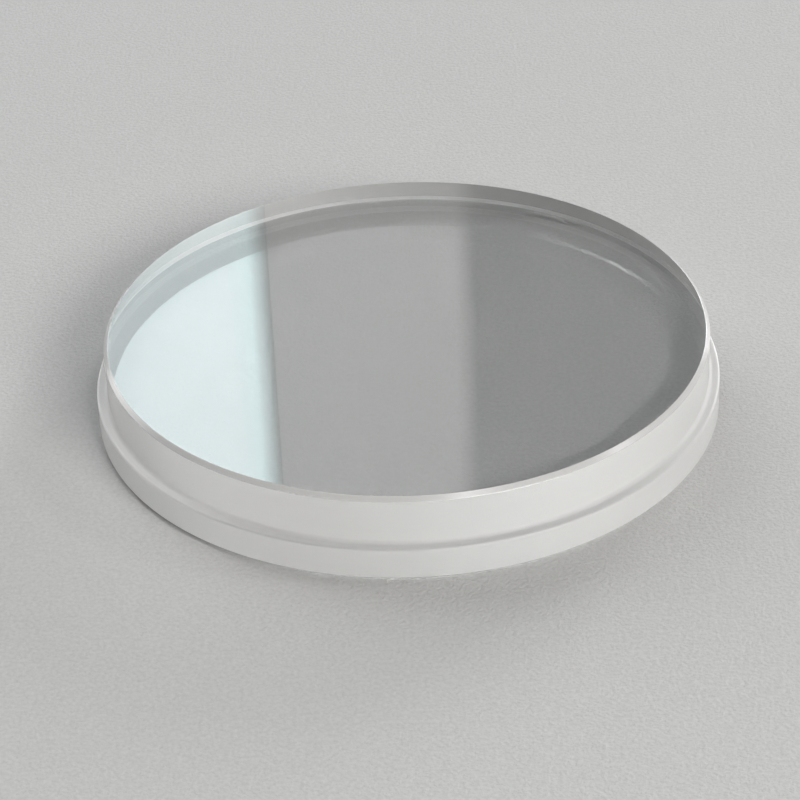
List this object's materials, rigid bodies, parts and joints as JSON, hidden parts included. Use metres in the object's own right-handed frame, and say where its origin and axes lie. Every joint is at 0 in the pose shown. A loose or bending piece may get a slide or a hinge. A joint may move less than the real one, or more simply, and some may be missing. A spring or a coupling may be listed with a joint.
{
  "type": "watch crystal",
  "caption": "Flat round watch crystal with polished faces, a finely ground edge and a wider lower flange that seats under a bezel.",
  "frame": {"origin": "centre of the bottom face, the face that points into the watch", "axes": "+Z along the lens axis, out of the watch towards the wearer; X and Y lie in the bottom face and are free, since the lens is round"},
  "size_m": [0.0315, 0.0314, 0.0043],
  "materials": {
    "sapphire": "clear, polished top and bottom, finely ground edge wall, ledge and bevels"
  },
  "bodies": {
    "root": {"crystal": "sapphire"}
  },
  "joints": []
}
